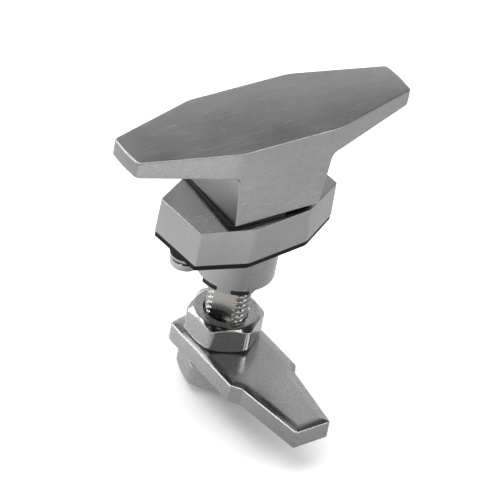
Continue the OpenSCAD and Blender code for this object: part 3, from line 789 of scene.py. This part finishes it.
# the inner pieces keep their CAD meshes
innerMaterials = {"spindle": sinteredSteel, "neck_seal": rubber, "thrust_washer": bronze,
                  "grip_screw": fastenerSteel, "grip_lock_washer": springSteel,
                  "return_spring": springSteel, "bore_ring": springSteel, "stop_pin": fastenerSteel,
                  "rotor": sinteredSteel, "follower_pin": fastenerSteel}
for name, material in innerMaterials.items():
    node = cadNodes[name]
    for k in range(max(1, len(node.data.materials))):
        if len(node.data.materials) <= k:
            node.data.materials.append(material)
        node.data.materials[k] = material
print("inner pieces dressed")

floorLook = {"gap": 0.0002, "size": 4, "color": (0.94, 0.94, 0.94), "rough": 0.9, "shine": 0.1,
             "glossyShare": 0.75,
             # painted shade in the floor's glow for reflections: a painted shadow pool round shadeAt,
             # darker to the right and to the far left
             "shadeAt": (-0.012, -0.045, 0), "reach": 0.085, "middle": 0.1, "open": 1.14,
             "right": 0.58, "rightReach": 0.07,
             "far": 0.4, "farWay": (-0.8, 0.3, 0), "farReach": (0.09, 0.14),
             # painted light for the camera: a glow that whitens the floor away from the contact shadow
             "liftAt": (-0.008, -0.02, 0), "liftReach": (0.01, 0.048), "paintedLightLift": (0.06, 0.45)}


def makeFloor(s):
    bm = bmesh.new()
    bmesh.ops.create_grid(bm, x_segments=1, y_segments=1, size=s["size"])
    mesh = bpy.data.meshes.new("floor")
    bm.to_mesh(mesh)
    bm.free()
    obj = newObject("floor", mesh)
    obj.location.z = cadLow.z - s["gap"]
    m = Nodes("floorPaper")
    m.shader.inputs["Base Color"].default_value = (*s["color"], 1)
    m.shader.inputs["Roughness"].default_value = s["rough"]
    m.shader.inputs["Specular IOR Level"].default_value = s["shine"]
    rays = m.tree.nodes.new("ShaderNodeLightPath").outputs
    # metal sees a glowing white paper with painted shade on it: a painted shadow pool in front of the
    # latch, and painted shade to the right and far left
    split = m.tree.nodes.new("ShaderNodeSeparateXYZ")
    m.join(m.coord, split.inputs[0])
    middle = m.ramp(m.vector("DISTANCE", s["shadeAt"]), s["middle"], s["open"], 0, s["reach"])
    side = m.ramp(split.outputs["X"], 1, s["right"], 0, s["rightReach"])
    farPaintedShade = m.ramp(m.vector("DOT_PRODUCT", s["farWay"]), 1, s["far"], *s["farReach"])
    paintedShadeGlow = m.tree.nodes.new("ShaderNodeEmission")
    m.join(m.math("MULTIPLY", m.math("MULTIPLY", middle, side), farPaintedShade), paintedShadeGlow.inputs["Strength"])
    # for the camera a white glow keeps the open floor white outside the shadow; it is weak near the
    # contact shadow and full further out, painted light that lightens the floor's real shadow away from
    # the contact
    paintedLightLift = m.ramp(m.vector("DISTANCE", s["liftAt"]), *s["paintedLightLift"], *s["liftReach"], soft=True)
    m.shader.inputs["Emission Color"].default_value = (1, 1, 1, 1)
    m.join(m.math("MULTIPLY", rays["Is Camera Ray"], paintedLightLift), m.shader.inputs["Emission Strength"])
    mix = m.tree.nodes.new("ShaderNodeMixShader")
    m.join(m.math("MULTIPLY", rays["Is Glossy Ray"], s["glossyShare"]), mix.inputs["Fac"])
    m.join(m.shader.outputs["BSDF"], mix.inputs[1])
    m.join(paintedShadeGlow.outputs["Emission"], mix.inputs[2])
    m.join(mix.outputs[0], m.tree.nodes["Material Output"].inputs["Surface"])
    mesh.materials.append(m.material)


makeFloor(floorLook)


def areaLight(name, azimuth, elevation, distance, size, power, roll=0):
    # azimuth counts from +X towards +Y, in degrees
    data = bpy.data.lights.new(name, "AREA")
    data.shape = "RECTANGLE"
    data.size, data.size_y = size
    data.energy = power
    obj = bpy.data.objects.new(name, data)
    scene.collection.objects.link(obj)
    a, e = radians(azimuth), radians(elevation)
    way = Vector((cos(a) * cos(e), sin(a) * cos(e), sin(e)))
    obj.location = way * distance
    obj.rotation_euler = (way.to_track_quat("Z", "Y") @ Quaternion((0, 0, 1), radians(roll))).to_euler()
    return obj


def softBox(name, x, y, z, radiance):
    # a level softbox over x and y (low, high) at height z
    size = (x[1] - x[0], y[1] - y[0])
    obj = areaLight(name, 0, 90, z, size, pi * radiance * size[0] * size[1])
    obj.rotation_euler = (0, 0, 0)
    obj.location = ((x[0] + x[1]) / 2, (y[0] + y[1]) / 2, z)


softBox("topBox", (-0.65, 0.12), (-0.27, 0.6), 0.8, 2.7)
softBox("frontTop", (0.13, 0.33), (-0.42, 0.0), 0.8, 2.4)
areaLight("backBox", 98, 39, 1.0, (0.42, 0.44), 1.5)
areaLight("leftBox", 140, 15, 0.9, (0.8, 0.2), 3.0)
areaLight("frontBox", -56, 38, 0.9, (0.5, 0.2), 1.15)
areaLight("rightCard", 43.6, 9, 0.2, (0.36, 0.2), 0.068, 28)
areaLight("camCard", 14, 26, 0.07, (0.03, 0.035), 0.0009)
areaLight("backStrip", 62, 9, 0.9, (0.42, 0.08), 0.42)
areaLight("nutStrip", -93, 34, 0.9, (0.1, 0.2), 0.32)


def makeWorld(stops, plain):
    # plain grey light; metal sees it shaded by height, as under a soft box in a dim room
    world = bpy.data.worlds.new("studio")
    world.use_nodes = True
    scene.world = world
    tree = world.node_tree
    back = tree.nodes["Background"]
    coord = tree.nodes.new("ShaderNodeTexCoord")
    split = tree.nodes.new("ShaderNodeSeparateXYZ")
    tree.links.new(coord.outputs["Generated"], split.inputs[0])
    ramp = tree.nodes.new("ShaderNodeValToRGB")
    ramp.color_ramp.interpolation = "EASE"
    for at, value in stops:
        if at in (0, 1):
            stop = ramp.color_ramp.elements[-at]
        else:
            stop = ramp.color_ramp.elements.new(at)
        stop.color = (value, value, value, 1)
    tree.links.new(split.outputs["Z"], ramp.inputs["Fac"])
    path = tree.nodes.new("ShaderNodeLightPath")
    mix = tree.nodes.new("ShaderNodeMix")
    mix.data_type = "RGBA"
    mix.inputs[6].default_value = (plain, plain, plain, 1)
    tree.links.new(path.outputs["Is Glossy Ray"], mix.inputs[0])
    tree.links.new(ramp.outputs["Color"], mix.inputs[7])
    tree.links.new(mix.outputs[2], back.inputs["Color"])


makeWorld([(0, 0.75), (1, 0.2), (0.15, 0.6), (0.4, 0.46), (0.62, 0.4), (0.74, 0.05), (0.9, 0.05)], 0.4)

# solved from the photograph's straight edges: place in metres and the camera's own axes
view = {"lens": 311.2, "sensor": 36, "clip": (0.05, 20), "place": (-0.66661, -0.63864, 0.69579),
        "right": (0.7628599, -0.6268912, 0.1582787), "up": (0.2929706, 0.5533760, 0.7797072),
        "back": (-0.5763792, -0.5484364, 0.6058091)}


def makeCamera(s):
    data = bpy.data.cameras.new("camera")
    data.sensor_width = s["sensor"]
    data.lens = s["lens"]
    data.clip_start, data.clip_end = s["clip"]
    obj = bpy.data.objects.new("camera", data)
    scene.collection.objects.link(obj)
    axes = Matrix((s["right"], s["up"], s["back"])).transposed().to_4x4()
    obj.matrix_world = Matrix.Translation(s["place"]) @ axes
    scene.camera = obj
    scene.view_settings.view_transform = "Standard"


makeCamera(view)
print("floor, light and camera set")
